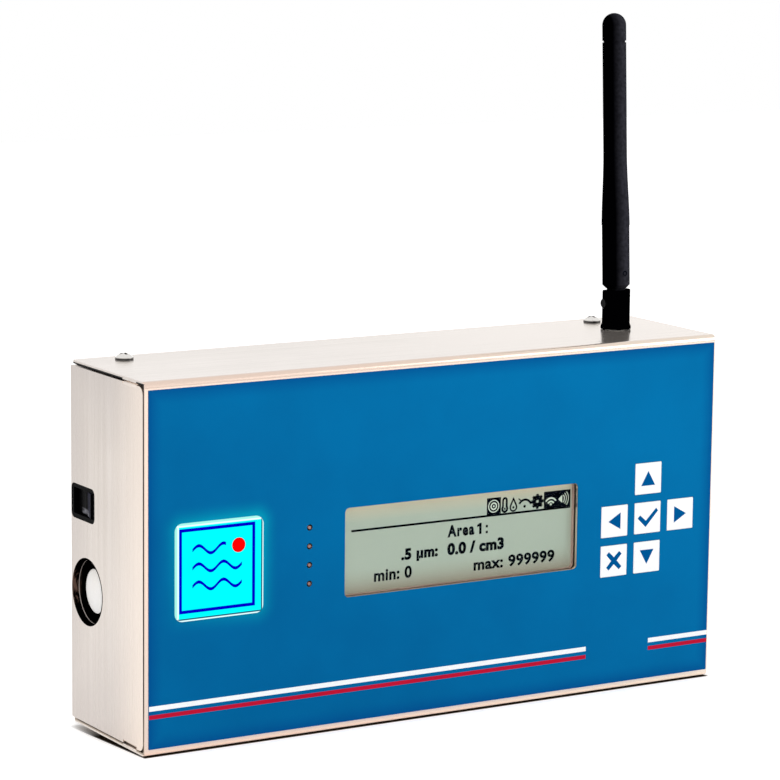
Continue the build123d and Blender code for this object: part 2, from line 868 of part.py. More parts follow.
# ================================================================ antenna whip
# The whip leans back a little from the upright; its sections lie along the leaning axis.
lean_sine = sin(radians(antenna_lean))
lean_cosine = cos(radians(antenna_lean))
whip_axis = Axis(hinge, (0, lean_sine, lean_cosine))
whip_section = Plane(origin=hinge, x_dir=(1, 0, 0), z_dir=(0, -lean_cosine, lean_sine))
whip_side = Plane(origin=hinge, x_dir=(0, lean_cosine, -lean_sine), z_dir=(1, 0, 0))

with BuildPart() as antenna_sleeve:
    with BuildSketch(whip_section):
        with BuildLine():
            Polyline(
                (0, shoulder_distance),
                (sleeve_radius - sleeve_chamfer, shoulder_distance),
                (sleeve_radius, shoulder_distance + sleeve_chamfer),
                (sleeve_radius, sleeve_end),
                (spigot_radius, sleeve_end),
                (spigot_radius, sleeve_end + spigot_length),
                (0, sleeve_end + spigot_length),
                close=True,
            )
        make_face()
    revolve(axis=whip_axis)
    with BuildSketch(whip_side):
        Circle(tongue_radius)
        Rectangle(2 * tongue_radius, shoulder_distance + sleeve_chamfer, align=(Align.CENTER, Align.MIN))
        Circle(antenna_pin_radius + running_fit, mode=Mode.SUBTRACT)
    extrude(amount=tongue_thickness / 2, both=True)
    with BuildSketch(whip_section):
        with BuildLine():
            Polyline(
                (0, sleeve_end - spigot_length),
                (element_radius, sleeve_end - spigot_length),
                (element_radius, sleeve_end + 2 * spigot_length),
                (0, sleeve_end + 2 * spigot_length),
                close=True,
            )
        make_face()
    revolve(axis=whip_axis, mode=Mode.SUBTRACT)
save(antenna_sleeve, "antenna_sleeve")

with BuildPart() as antenna_tube:
    with BuildSketch(whip_section):
        with BuildLine():
            Polyline(
                (spigot_radius, sleeve_end),
                (tube_start_radius, sleeve_end),
                (tube_start_radius, sleeve_end + 1),
            )
            Spline(
                (tube_start_radius, sleeve_end + 1),
                (tube_waist_radius, tube_waist),
                tangents=((-0.02, 1), (0, 1)),
            )
            Polyline(
                (tube_waist_radius, tube_waist),
                (tube_waist_radius, tube_end),
                (tube_bore_radius, tube_end),
                (tube_bore_radius, sleeve_end + spigot_length),
                (spigot_radius, sleeve_end + spigot_length),
                (spigot_radius, sleeve_end),
            )
        make_face()
    revolve(axis=whip_axis)
save(antenna_tube, "antenna_tube")

with BuildPart() as antenna_tip:
    with BuildSketch(whip_section):
        with BuildLine():
            Polyline(
                (0, tube_end - spigot_length),
                (tube_bore_radius, tube_end - spigot_length),
                (tube_bore_radius, tube_end),
                (tip_neck_radius, tube_end),
                (tip_neck_radius, tube_end + tip_neck_length),
                (tip_radius, tube_end + tip_neck_length),
                (tip_radius, whip_length - tip_radius),
            )
            RadiusArc((tip_radius, whip_length - tip_radius), (0, whip_length), -tip_radius)
            Line((0, whip_length), (0, tube_end - spigot_length))
        make_face()
    revolve(axis=whip_axis)
save(antenna_tip, "antenna_tip")

with BuildPart() as antenna_element:
    with BuildSketch(whip_section):
        with BuildLine():
            Polyline(
                (0, sleeve_end - spigot_length),
                (element_radius, sleeve_end - spigot_length),
                (element_radius, element_end),
                (0, element_end),
                close=True,
            )
        make_face()
    revolve(axis=whip_axis)
save(antenna_element, "antenna_element")

# ================================================================ power switch
# The frame sits flush in its hole in the left end; its flange bears on the plate from within.
# The rocker tips about an upright pin; at rest its rear half is pressed in.
rocker_sweep = hypot(rocker_half_length, rocker_rise)
cavity_length = 2 * (rocker_sweep + rocker_end_gap)
cavity_width = rocker_width + 2 * rocker_side_gap
switch_centre = (power_switch_y, power_switch_z)
rocker_pivot = (left_x + rocker_pivot_depth, power_switch_y, power_switch_z)

with BuildPart() as power_switch_body:
    with BuildSketch(end_plane(switch_frame_sink)):
        with Locations(switch_centre):
            RectangleRounded(
                switch_hole_length - 2 * fit_clearance,
                switch_hole_width - 2 * fit_clearance,
                switch_hole_corner - fit_clearance,
            )
    extrude(amount=sheet - switch_frame_sink)
    with BuildSketch(end_plane(sheet)):
        with Locations(switch_centre):
            Rectangle(switch_body_length, switch_flange_width)
    extrude(amount=switch_flange_thickness)
    with BuildSketch(end_plane(sheet)):
        with Locations(switch_centre):
            Rectangle(switch_body_length, switch_body_width)
    extrude(amount=switch_body_depth)
    with BuildSketch(end_plane(switch_frame_sink)):
        with Locations(switch_centre):
            Rectangle(cavity_length, cavity_width)
    extrude(amount=sheet + switch_body_depth - switch_body_floor - switch_frame_sink, mode=Mode.SUBTRACT)
    with BuildSketch(Plane(rocker_pivot, z_dir=(0, 0, 1))):
        Circle(rocker_pin_radius + running_fit)
    extrude(amount=cavity_width / 2 + rocker_pin_length, both=True, mode=Mode.SUBTRACT)
    with BuildSketch(end_plane(sheet + switch_body_depth)):
        with Locations(switch_centre):
            with GridLocations(terminal_pitch, 0, 2, 1):
                Rectangle(terminal_thickness, terminal_width)
    extrude(amount=-switch_body_floor, mode=Mode.SUBTRACT)
save(power_switch_body, "power_switch_body")

rocker_plane = Plane(
    origin=rocker_pivot,
    x_dir=(sin(radians(rocker_tilt)), cos(radians(rocker_tilt)), 0),
    z_dir=(0, 0, 1),
)
with BuildPart() as power_switch_rocker:
    with BuildSketch(rocker_plane):
        with BuildLine():
            Polyline(
                (-rocker_half_length, rocker_rise),
                (-rocker_half_length, -rocker_skirt),
                (-rocker_half_root, -rocker_root),
                (0, -rocker_heel),
                (rocker_half_root, -rocker_root),
                (rocker_half_length, -rocker_skirt),
                (rocker_half_length, rocker_rise),
                (0, rocker_dip),
                close=True,
            )
        make_face()
    extrude(amount=rocker_width / 2, both=True)
    with BuildSketch(rocker_plane):
        Circle(rocker_pin_radius)
    extrude(amount=rocker_width / 2 + rocker_side_gap + rocker_pin_length, both=True)
save(power_switch_rocker, "power_switch_rocker")

with BuildPart() as power_switch_terminals:
    with BuildSketch(end_plane(sheet + switch_body_depth - switch_body_floor)):
        with Locations(switch_centre):
            with GridLocations(terminal_pitch, 0, 2, 1):
                Rectangle(terminal_thickness, terminal_width)
    extrude(amount=switch_body_floor + terminal_length)
save(power_switch_terminals, "power_switch_terminals")

# ================================================================ sample port
port_axis = Axis((left_x, port_y, port_z), (1, 0, 0))
port_section = Plane(origin=(left_x, port_y, port_z), x_dir=(1, 0, 0), z_dir=(0, -1, 0))
filter_back = port_depth + filter_thickness
filter_crown = port_depth + fit_clearance
filter_shoulder = filter_crown + filter_dome

with BuildPart() as port_liner:
    with BuildSketch(port_section):
        with BuildLine():
            Polyline(
                (0, port_radius - port_rim),
                (0, port_radius),
                (sheet, port_radius),
                (sheet, port_flange_radius),
                (sheet + port_flange_thickness, port_flange_radius),
                (sheet + port_flange_thickness, port_radius),
                (port_length, port_radius),
                (port_length, nozzle_radius + fit_clearance),
                (filter_back, nozzle_radius + fit_clearance),
                (filter_back, filter_radius + fit_clearance),
                (port_depth, filter_radius + fit_clearance),
                (port_depth, port_radius - port_rim),
                close=True,
            )
        make_face()
    revolve(axis=port_axis)
    # The flange has a flat beside the back panel.
    with BuildSketch(Plane.XZ.offset(-(back_y - sheet - port_flange_flat_gap))):
        with Locations((left_x + port_length / 2, port_z)):
            Rectangle(2 * port_length, 2 * port_flange_radius)
    extrude(amount=-port_flange_radius, mode=Mode.SUBTRACT)
save(port_liner, "port_liner")

with BuildPart() as port_filter:
    with BuildSketch(port_section):
        with BuildLine():
            Polyline(
                (filter_crown, 0),
                (filter_back, 0),
                (filter_back, filter_radius),
                (filter_shoulder, filter_radius),
            )
            TangentArc((filter_crown, 0), (filter_shoulder, filter_radius), tangent=(0, 1))
        make_face()
    revolve(axis=port_axis)
save(port_filter, "port_filter")

# ================================================================ particle sensor
# A block with the optical chamber, fed from the port and emptied by a small fan.
sensor_y = back_y - sheet - sensor_width / 2
sensor_front_y = sensor_y - sensor_width / 2
sensor_plane = end_plane(sensor_inset)
chamber_x = left_x + sensor_inset + sensor_length / 2

with BuildPart() as sensor_body:
    with BuildSketch(sensor_plane):
        with Locations((sensor_y, port_z)):
            RectangleRounded(sensor_width, sensor_height, sensor_wall / 2)
    extrude(amount=sensor_length)
    with BuildSketch(Plane.XZ.offset(-sensor_front_y)):
        with Locations((chamber_x, port_z)):
            Rectangle(sensor_length - 2 * sensor_wall, sensor_height - 4 * sensor_wall)
    extrude(amount=-(sensor_width - sensor_wall), mode=Mode.SUBTRACT)
    with BuildSketch(sensor_plane):
        with Locations((port_y, port_z)):
            Circle(sensor_channel_radius)
    extrude(amount=sensor_wall, mode=Mode.SUBTRACT)
    with BuildSketch(sensor_plane.offset(sensor_length)):
        with Locations((sensor_y, port_z)):
            Circle(sensor_channel_radius)
    extrude(amount=-sensor_wall, mode=Mode.SUBTRACT)
    with BuildSketch(Plane.XY.offset(port_z)):
        with Locations((chamber_x, sensor_y)):
            Circle(laser_radius)
    extrude(amount=sensor_height, mode=Mode.SUBTRACT)
save(sensor_body, "sensor_body")

with BuildPart() as inlet_nozzle:
    with BuildSketch(end_plane(filter_back)):
        with Locations((port_y, port_z)):
            Circle(nozzle_radius)
            Circle(nozzle_bore_radius, mode=Mode.SUBTRACT)
    extrude(amount=sensor_inset - filter_back)
    with BuildSketch(sensor_plane):
        with Locations((port_y, port_z)):
            Circle(sensor_channel_radius)
            Circle(nozzle_bore_radius, mode=Mode.SUBTRACT)
    extrude(amount=sensor_wall)
save(inlet_nozzle, "inlet_nozzle")

sensor_screw_places = [
    (chamber_x + column * (sensor_length / 2 - sensor_wall), port_z + row * (sensor_height / 2 - sensor_wall))
    for column in (-1, 1)
    for row in (-1, 1)
]
with BuildPart() as sensor_lid:
    with BuildSketch(Plane.XZ.offset(-sensor_front_y)):
        with Locations((chamber_x, port_z)):
            Rectangle(sensor_length, sensor_height)
        with Locations(sensor_screw_places):
            Circle(sensor_screw_radius, mode=Mode.SUBTRACT)
    extrude(amount=sensor_lid_thickness)
save(sensor_lid, "sensor_lid")

with BuildPart() as sensor_screws:
    with BuildSketch(Plane.XZ.offset(-sensor_front_y + sensor_lid_thickness)):
        with Locations(sensor_screw_places):
            Circle(sensor_screw_head_radius)
    extrude(amount=sensor_screw_head_height)
    with BuildSketch(Plane.XZ.offset(-sensor_front_y)):
        with Locations(sensor_screw_places):
            Circle(sensor_screw_radius)
    extrude(amount=sensor_lid_thickness)
save(sensor_screws, "sensor_screws")

with BuildPart() as laser_module:
    with BuildSketch(Plane.XY.offset(port_z + sensor_height / 2 - 2 * sensor_wall)):
        with Locations((chamber_x, sensor_y)):
            Circle(laser_radius)
    extrude(amount=laser_length)
save(laser_module, "laser_module")

# ================================================================ sample fan
fan_inset = sensor_inset + sensor_length

with BuildPart() as fan_frame:
    with BuildSketch(end_plane(fan_inset)):
        with Locations((sensor_y, port_z)):
            RectangleRounded(fan_size, fan_size, fan_corner)
            Circle(fan_bore_radius, mode=Mode.SUBTRACT)
    extrude(amount=fan_thickness)
    with BuildSketch(end_plane(fan_inset + fan_thickness - fan_plate_thickness)):
        with Locations((sensor_y, port_z)):
            Circle(fan_hub_radius)
            with PolarLocations(0, 3):
                Rectangle(fan_bore_radius + fan_hub_gap, fan_spoke_width, align=(Align.MIN, Align.CENTER))
            Circle(fan_shaft_radius + running_fit, mode=Mode.SUBTRACT)
    extrude(amount=fan_plate_thickness)
save(fan_frame, "fan_frame")

rotor_back = fan_inset + fan_thickness - fan_plate_thickness - fan_hub_gap
rotor_front = rotor_back - fan_blade_height - fan_hub_gap
blade_reach = fan_bore_radius - fan_blade_gap
with BuildPart() as fan_rotor:
    with BuildSketch(end_plane(rotor_front)):
        with Locations((sensor_y, port_z)):
            Circle(fan_hub_radius)
    extrude(amount=rotor_back - rotor_front)
    blade_centre = Plane(
        origin=(left_x + (rotor_front + rotor_back) / 2, sensor_y, port_z),
        x_dir=(1, 0, 0),
        z_dir=(0, 0, 1),
    )
    for blade in range(fan_blade_count):
        turned = blade_centre.rotated((blade * 360 / fan_blade_count, 0, 0))
        with BuildSketch(turned.offset(fan_hub_radius - fan_blade_thickness)):
            Rectangle(fan_blade_width, fan_blade_thickness, rotation=fan_blade_angle)
        extrude(amount=blade_reach - fan_hub_radius)
    with BuildSketch(end_plane(rotor_back)):
        with Locations((sensor_y, port_z)):
            Circle(fan_shaft_radius)
    extrude(amount=fan_hub_gap + fan_plate_thickness)
save(fan_rotor, "fan_rotor")

# ================================================================ main board
main_board_x = right_x - main_board_right_inset - main_board_width / 2
main_board_z = base_z + main_board_low + main_board_height / 2
back_inner = cover_depth - sheet
main_board_back = back_inner - standoff_height
main_board_front = main_board_back - board_thickness
standoff_span_x = main_board_width - 2 * board_edge_inset
standoff_span_z = main_board_height - 2 * board_edge_inset
standoff_places = [
    (main_board_x + column * standoff_span_x / 2, main_board_z + row * standoff_span_z / 2)
    for column in (-1, 1)
    for row in (-1, 1)
]

with BuildPart() as main_board:
    with BuildSketch(face_plane(main_board_back)):
        with Locations((main_board_x, main_board_z)):
            RectangleRounded(main_board_width, main_board_height, board_edge_inset / 2)
        with Locations(standoff_places):
            Circle(board_hole_radius, mode=Mode.SUBTRACT)
    extrude(amount=board_thickness)
save(main_board, "main_board")

with BuildPart() as board_standoffs:
    with BuildSketch(face_plane(back_inner)):
        with Locations(standoff_places):
            RegularPolygon(standoff_radius, 6, major_radius=False)
            Circle(board_screw_radius, mode=Mode.SUBTRACT)
    extrude(amount=standoff_height)
save(board_standoffs, "board_standoffs")

with BuildPart() as board_screws:
    with BuildSketch(face_plane(main_board_front)):
        with Locations(standoff_places):
            Circle(board_screw_head_radius)
    extrude(amount=board_screw_head_height)
    with BuildSketch(face_plane(main_board_back + board_screw_grip)):
        with Locations(standoff_places):
            Circle(board_screw_radius)
    extrude(amount=board_thickness + board_screw_grip)
save(board_screws, "board_screws")

radio_x = main_board_x + main_board_width / 2 - radio_width
radio_z = main_board_z + main_board_height / 2 - radio_height / 2
with BuildPart() as radio_module:
    with BuildSketch(face_plane(main_board_front)):
        with Locations((radio_x, radio_z)):
            RectangleRounded(radio_width, radio_height, radio_corner)
    extrude(amount=radio_thickness)
save(radio_module, "radio_module")

buzzer_x = main_board_x - main_board_width / 4
with BuildPart() as alarm_buzzer:
    with BuildSketch(face_plane(main_board_front)):
        with Locations((buzzer_x, main_board_z)):
            Circle(buzzer_radius)
    extrude(amount=buzzer_height)
    with BuildSketch(face_plane(main_board_front - buzzer_height)):
        with Locations((buzzer_x, main_board_z)):
            Circle(buzzer_hole_radius)
    extrude(amount=-buzzer_height / 2, mode=Mode.SUBTRACT)
save(alarm_buzzer, "alarm_buzzer")

# ================================================================ power jack
jack_axis = Axis((right_x, power_jack_y, power_jack_z), (1, 0, 0))
jack_section = Plane(origin=(right_x, power_jack_y, power_jack_z), x_dir=(-1, 0, 0), z_dir=(0, 1, 0))

with BuildPart() as power_jack:
    with BuildSketch(jack_section):
        with BuildLine():
            Polyline(
                (power_jack_bore_depth, 0),
                (power_jack_length, 0),
                (power_jack_length, power_jack_radius),
                (0, power_jack_radius),
                (0, power_jack_flange_radius),
                (-power_jack_flange_thickness, power_jack_flange_radius),
                (-power_jack_flange_thickness, power_jack_bore_radius),
                (power_jack_bore_depth, power_jack_bore_radius),
                close=True,
            )
        make_face()
    revolve(axis=jack_axis)
    with BuildSketch(Plane.YZ.offset(right_x)):
        with Locations((power_jack_y, power_jack_z)):
            Circle(power_jack_pin_radius)
    extrude(amount=-power_jack_bore_depth - power_jack_pin_radius)
save(power_jack, "power_jack")

with BuildPart() as power_jack_nut:
    with BuildSketch(Plane.YZ.offset(right_x - sheet)):
        with Locations((power_jack_y, power_jack_z)):
            RegularPolygon(power_jack_nut_radius, 6, major_radius=False)
            Circle(power_jack_radius, mode=Mode.SUBTRACT)
    extrude(amount=-power_jack_nut_thickness)
save(power_jack_nut, "power_jack_nut")
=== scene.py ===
from math import cos, pi, radians, sin

import bmesh
import bpy
from mathutils import Matrix, Vector


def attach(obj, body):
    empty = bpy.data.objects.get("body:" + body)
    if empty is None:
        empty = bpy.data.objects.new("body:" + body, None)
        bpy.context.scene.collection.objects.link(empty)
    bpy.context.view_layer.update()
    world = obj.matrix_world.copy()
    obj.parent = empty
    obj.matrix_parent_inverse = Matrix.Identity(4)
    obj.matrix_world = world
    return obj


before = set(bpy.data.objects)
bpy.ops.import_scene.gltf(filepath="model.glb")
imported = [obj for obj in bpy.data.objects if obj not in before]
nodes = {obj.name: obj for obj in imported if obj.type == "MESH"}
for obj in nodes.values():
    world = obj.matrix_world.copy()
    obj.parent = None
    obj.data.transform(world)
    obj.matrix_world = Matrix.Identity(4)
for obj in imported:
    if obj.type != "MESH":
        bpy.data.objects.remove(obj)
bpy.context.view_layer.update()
MM = 0.001
BLACK = (0, 0, 0, 1)

# Places on the instrument that its finishes follow, in metres.
MIDDLE_Z = 0.0595
FACE_Y = -0.02575
ROOF_Z = 0.117
BOTTOM_Z = 0.002
SEAM_SHADE_X = 0.1048
SEAM_DEPTH = 0.00055
EAR_Y = -0.01555
EAR_HALF = 0.00448
ROCKER_STRIP_Y = 0.0126
ROCKER_FOOT_Y = 0.016
ROCKER_FOOT_Z = 0.0702
PORT_Y = 0.01345
PORT_FLOOR_X = -0.10287
WHIP_X = 0.0829
BADGE_X = -0.08
BADGE_Z = 0.058
BADGE_ROUND = 0.0025
BADGE_STRAIGHT = 0.01265  # Half of what is straight of its side.
FILM_X = 0.00025
FILM_Z = 0.0594
FILM_HALF_WIDTH = 0.10405
FILM_HALF_HEIGHT = 0.0551


# ---------------------------------------------------------------- finishes
def colour(code, strength=1.0):
    """A paint chip's code as linear light, with alpha."""
    parts = [int(code[i:i + 2], 16) / 255 for i in (1, 3, 5)]
    linear = [p / 12.92 if p <= 0.04045 else ((p + 0.055) / 1.055) ** 2.4 for p in parts]
    return tuple(value * strength for value in linear) + (1.0,)


class Tone:
    """A number, colour or direction that varies over a surface."""

    def __init__(self, finish, socket):
        self.finish = finish
        self.socket = socket

    def _math(self, operation, first, second=0.0):
        return self.finish.add("ShaderNodeMath", {"operation": operation}, {0: first, 1: second})

    def __add__(self, other):
        return self._math("ADD", self, other)

    __radd__ = __add__

    def __sub__(self, other):
        return self._math("SUBTRACT", self, other)

    def __rsub__(self, other):
        return self._math("SUBTRACT", other, self)

    def __mul__(self, other):
        return self._math("MULTIPLY", self, other)

    __rmul__ = __mul__

    def __pow__(self, other):
        return self._math("POWER", self, other)

    def __abs__(self):
        return self._math("ABSOLUTE", self)

    def least(self, other):
        return self._math("MINIMUM", self, other)

    def most(self, other):
        return self._math("MAXIMUM", self, other)

    def above(self, other):
        return self._math("GREATER_THAN", self, other)


class Finish:
    """One material of the instrument."""

    def __init__(self, name, **sockets):
        self.material = bpy.data.materials.new(name)
        self.material.use_nodes = True
        self.tree = self.material.node_tree
        self.shader = self.tree.nodes["Principled BSDF"]
        self.set(**sockets)

    def set(self, **sockets):
        """Sets or links the shader's own sockets."""
        for name, value in sockets.items():
            self.feed(self.shader.inputs[name.replace("_", " ")], value)

    def feed(self, socket, value):
        if isinstance(value, Tone):
            self.tree.links.new(value.socket, socket)
        else:
            socket.default_value = value

    def add(self, kind, settings=None, values=None, output=0):
        """One node with its settings and its sockets' values or links, as one of its outputs."""
        node = self.tree.nodes.new(kind)
        for key, value in (settings or {}).items():
            setattr(node, key, value)
        for key, value in (values or {}).items():
            self.feed(node.inputs[key], value)
        return Tone(self, node.outputs[output])

    def place(self):
        return self.add("ShaderNodeTexCoord", None, None, "Object")

    def along(self, letter):
        """The place on one of the instrument's axes, in metres."""
        return self.add("ShaderNodeSeparateXYZ", None, {0: self.place()}, "XYZ".index(letter))

    def near(self, letter, middle, full, none):
        """One within a distance of a place on an axis, fading to nothing at a longer distance."""
        return self.spread(abs(self.along(letter) - middle), full, none, 1.0, 0.0)

    def noise(self, scale, detail=2.0, stretch=(1, 1, 1)):
        """Cloudy variation; scale counts features per metre along an axis of stretch 1."""
        place = self.add("ShaderNodeMapping", None, {"Vector": self.place(), "Scale": stretch})
        return self.add("ShaderNodeTexNoise", None, {"Vector": place, "Scale": scale, "Detail": detail})

    def blend(self, mask, first, second):
        """The first colour where the mask is zero, the second where it is one."""
        return self.add("ShaderNodeMix", {"data_type": "RGBA"}, {0: mask, 6: first, 7: second}, 2)

    def spread(self, value, low, high, out_low, out_high):
        """Carries low to high over to out_low to out_high, and holds the ends beyond them."""
        return self.add("ShaderNodeMapRange", None, {0: value, 1: low, 2: high, 3: out_low, 4: out_high})

    def relief(self, height, strength, distance):
        values = {"Height": height, "Strength": strength, "Distance": distance}
        self.set(Normal=self.add("ShaderNodeBump", None, values))

    def wear(self, *names):
        """Puts the finish on CAD nodes."""
        for name in names:
            mesh = nodes[name].data
            mesh.materials.clear()
            mesh.materials.append(self.material)


def brushed(name, grain, roughness, metallic=1.0):
    """Satin stainless steel, its grain running along the axis whose stretch is small.

    Its colour is left to the caller, who starts from its tone; dull is its roughness.
    """
    steel = Finish(name, Metallic=metallic)
    fine = steel.noise(9000, 2, grain)
    coarse = steel.noise(2200, 3, grain)
    broad = steel.noise(420, 2, grain)
    cloud = steel.noise(22, 3)
    lines = fine * 0.6 + coarse * 0.4
    light = steel.spread(lines * 0.45 + broad * 0.3 + cloud * 0.25, 0.35, 0.65, 0.0, 1.0)
    steel.dull = steel.spread(lines, 0.3, 0.7, roughness, roughness + 0.12)
    steel.set(Roughness=steel.dull)
    steel.relief(lines, 0.3, 0.00003)
    steel.tone = steel.blend(light, colour("#DCD2C9"), colour("#F5ECE5"))
    return steel


def moulded(name, chip, roughness, grain=1500, relief=0.12, chip_to=None, gloss=0.5):
    """Moulded plastic with the fine texture of its tool."""
    plastic = Finish(name, Specular_IOR_Level=gloss)
    skin = plastic.noise(grain, 3)
    cloud = plastic.spread(plastic.noise(60, 2), 0.35, 0.65, 0.0, 1.0)
    plastic.set(
        Base_Color=plastic.blend(cloud, colour(chip), colour(chip_to or chip)),
        Roughness=plastic.spread(skin, 0.3, 0.7, roughness - 0.06, roughness + 0.06),
    )
    plastic.relief(skin, relief, 0.00005)
    return plastic


def plated(name, chip, roughness, grain=3000):
    """Plated or turned metal."""
    metal = Finish(name, Metallic=1.0)
    skin = metal.noise(grain, 2)
    metal.set(
        Base_Color=metal.blend(skin, colour(chip), colour(chip, 1.15)),
        Roughness=metal.spread(skin, 0.3, 0.7, roughness - 0.04, roughness + 0.04),
    )
    return metal


# The cover has a painted highlight, warmer and brighter, over its front bend, and painted light
# that brightens it towards the right. Over the inner part of its end edges, along the seams but not
# over the ears, it has painted shade: brown along the floor and black further up, where the seam
# lets no light in.
COVER_METALLIC = 0.85
cover = brushed("satin steel cover", (0.008, 1, 1), 0.13, COVER_METALLIC)
bend_highlight = cover.spread(cover.along("Y"), -0.0248, -0.0235, 1.0, 0.0)
light_to_right = cover.spread(cover.along("X"), -0.04, 0.1, 0.0, 0.5)
inward = (cover.along("Y") - FACE_Y).least(ROOF_Z - cover.along("Z")).least(cover.along("Z") - BOTTOM_Z)
off_ears = abs(cover.along("Y") - EAR_Y).above(EAR_HALF)
seam_shade = abs(cover.along("X")).above(SEAM_SHADE_X) * inward.above(SEAM_DEPTH) * off_ears
seam_shadow = seam_shade * cover.spread(cover.along("Z"), 0.004, 0.02, 0.0, 1.0)
flat_tone = cover.blend(light_to_right, cover.tone, colour("#FFF3E8"))
bend_tone = cover.blend(light_to_right, colour("#F8DFCF"), colour("#FFF6E6"))
cover_tone = cover.blend(seam_shade, cover.blend(bend_highlight, flat_tone, bend_tone), colour("#A89887"))
cover.set(
    Base_Color=cover.blend(seam_shadow, cover_tone, colour("#060403")),
    Metallic=cover.spread(seam_shadow, 0.0, 1.0, COVER_METALLIC, 0.0),
    Roughness=cover.dull + seam_shadow * 0.6,
)
cover.wear("front_cover")

# The ends have a warm painted highlight towards the front edge, and painted shade towards the
# back, the top and the bottom.
ends = brushed("satin steel ends", (1, 1, 0.008), 0.22)
front_highlight = ends.spread(ends.along("Y"), -0.0258, -0.002, 1.0, 0.0) ** 1.3
near_back = ends.spread(ends.along("Y"), 0.008, 0.026, 0.0, 0.7)
near_top = ends.spread(ends.along("Z"), 0.09, 0.116, 0.0, 0.6)
near_bottom = ends.spread(ends.along("Z"), 0.002, 0.045, 0.75, 0.0)
shaded_tone = ends.blend(near_back.most(near_top).most(near_bottom), ends.tone, colour("#D2C9C4"))
ends.set(Base_Color=ends.blend(front_highlight, shaded_tone, colour("#FFF0E3")))
ends.wear("rear_chassis")

# Screw heads have bright crowns over a painted shade, a dark band along their lower edge.
screw = plated("screw steel", "#D8D4CE", 0.14)
shaded_foot = screw.near("Z", MIDDLE_Z, 0.0579, 0.0583)
screw.set(
    Base_Color=screw.blend(shaded_foot, colour("#FBF8F4"), colour("#060403")),
    Metallic=screw.spread(shaded_foot, 0.0, 1.0, 1.0, 0.0),
)
screw.wear("cover_screws")

plated("zinc steel", "#A9A9A6", 0.35).wear(
    "clinch_nuts", "board_studs", "board_nuts", "board_screws", "sensor_screws",
    "radio_module", "antenna_jack",
)
plated("gold plate", "#C8A75A", 0.28).wear(
    "antenna_jack_nut", "antenna_element", "power_switch_terminals", "board_standoffs",
    "laser_module", "power_jack_nut",
)
plated("anodised aluminium", "#8C8E90", 0.45).wear("sensor_body", "sensor_lid", "inlet_nozzle")
moulded("black plastic", "#030304", 0.4, chip_to="#060607", gloss=0.02).wear(
    "fan_frame", "fan_rotor", "alarm_buzzer", "power_jack", "key_switches", "power_switch_body",
)

# The rocker has a painted reflection, a faint strip down its raised side, and a broken painted
# highlight along its foot.
rocker = moulded("rocker plastic", "#050506", 0.32, chip_to="#08080A", gloss=0.02)
reflection_strip = rocker.near("Y", ROCKER_STRIP_Y, 0.0016, 0.002)
gleam_place = rocker.near("Z", ROCKER_FOOT_Z, 0.0006, 0.001) * rocker.near("Y", ROCKER_FOOT_Y, 0.003, 0.004)
gleam_breaks = rocker.spread(rocker.noise(900, 3), 0.4, 0.56, 0.2, 1.0)
rocker_face = rocker.blend(reflection_strip, colour("#050506"), colour("#222233"))
rocker.set(Base_Color=rocker.blend(gleam_place * gleam_breaks, rocker_face, colour("#85858C")))
rocker.wear("power_switch_rocker")

# The port is black, with a painted highlight, a light line where wall meets floor, and painted
# reflections, brown gleams, on the far wall.
port = moulded("port plastic", "#020202", 0.45, gloss=0.0)
corner_highlight = port.near("X", PORT_FLOOR_X, 0.00008, 0.00016)
far_wall = port.spread(port.along("Y") - PORT_Y, 0.0085, 0.0098, 0.0, 1.0)
reflection_streak = port.spread(port.noise(1500, 2, (1, 1, 0.12)), 0.5, 0.62, 0.0, 1.0)
gleam = port.blend(reflection_streak * far_wall, colour("#020202"), colour("#6A5248"))
port.set(Base_Color=port.blend(corner_highlight, gleam, colour("#C8BDB6")))
port.wear("port_liner")

# The whip is flat black, with a faint painted sheen on its right, where the fill light falls.
whip = moulded("antenna plastic", "#010102", 0.6, grain=2600, relief=0.3, gloss=0.0)
sheen_side = whip.spread(whip.along("X") - WHIP_X, -0.0026, 0.0008, 0.0, 1.0)
mottle = whip.spread(whip.noise(900, 4), 0.35, 0.65, 0.55, 1.0)
whip.set(Base_Color=whip.blend(sheen_side * mottle, colour("#010102"), colour("#34343B")))
whip.wear("antenna_sleeve", "antenna_tube", "antenna_tip")

moulded("knuckle plastic", "#010102", 0.6, grain=2600, relief=0.3, gloss=0.0).wear("antenna_knuckle")
plated("blackened metal", "#050506", 0.4).wear("antenna_pin", "antenna_coupling")
moulded("beige rubber", "#B09488", 0.7, chip_to="#BC9F92", gloss=0.1).wear("display_gasket")
moulded("beige plastic", "#BCA894", 0.5, chip_to="#C4B09C", gloss=0.1).wear("lcd_frame")
moulded("white plastic", "#E8E8E4", 0.45).wear("badge_light_box", "board_spacers")
# The filter glows faintly, a painted light that lifts it out of the port's shade.
glowing_filter = moulded("white filter", "#FFFCF8", 0.7, grain=4200, relief=0.2, chip_to="#FFFFFF", gloss=0.1)
glowing_filter.set(Emission_Color=colour("#FFF4EA"), Emission_Strength=0.14)
glowing_filter.wear("port_filter")
moulded("white key", "#FCFDFD", 0.4, grain=3000, relief=0.05, chip_to="#FFFFFF").wear(
    "key_up", "key_left", "key_confirm", "key_right", "key_cancel", "key_down",
)
moulded("lamp phosphor", "#F2EFD8", 0.4).wear("badge_leds", "indicator_leds")
moulded("circuit board", "#1F5A34", 0.35, chip_to="#256B3E").wear("display_board", "main_board")
moulded("light pipe", "#96706A", 0.3, chip_to="#A37E76", gloss=0.2).wear("indicator_pipes")
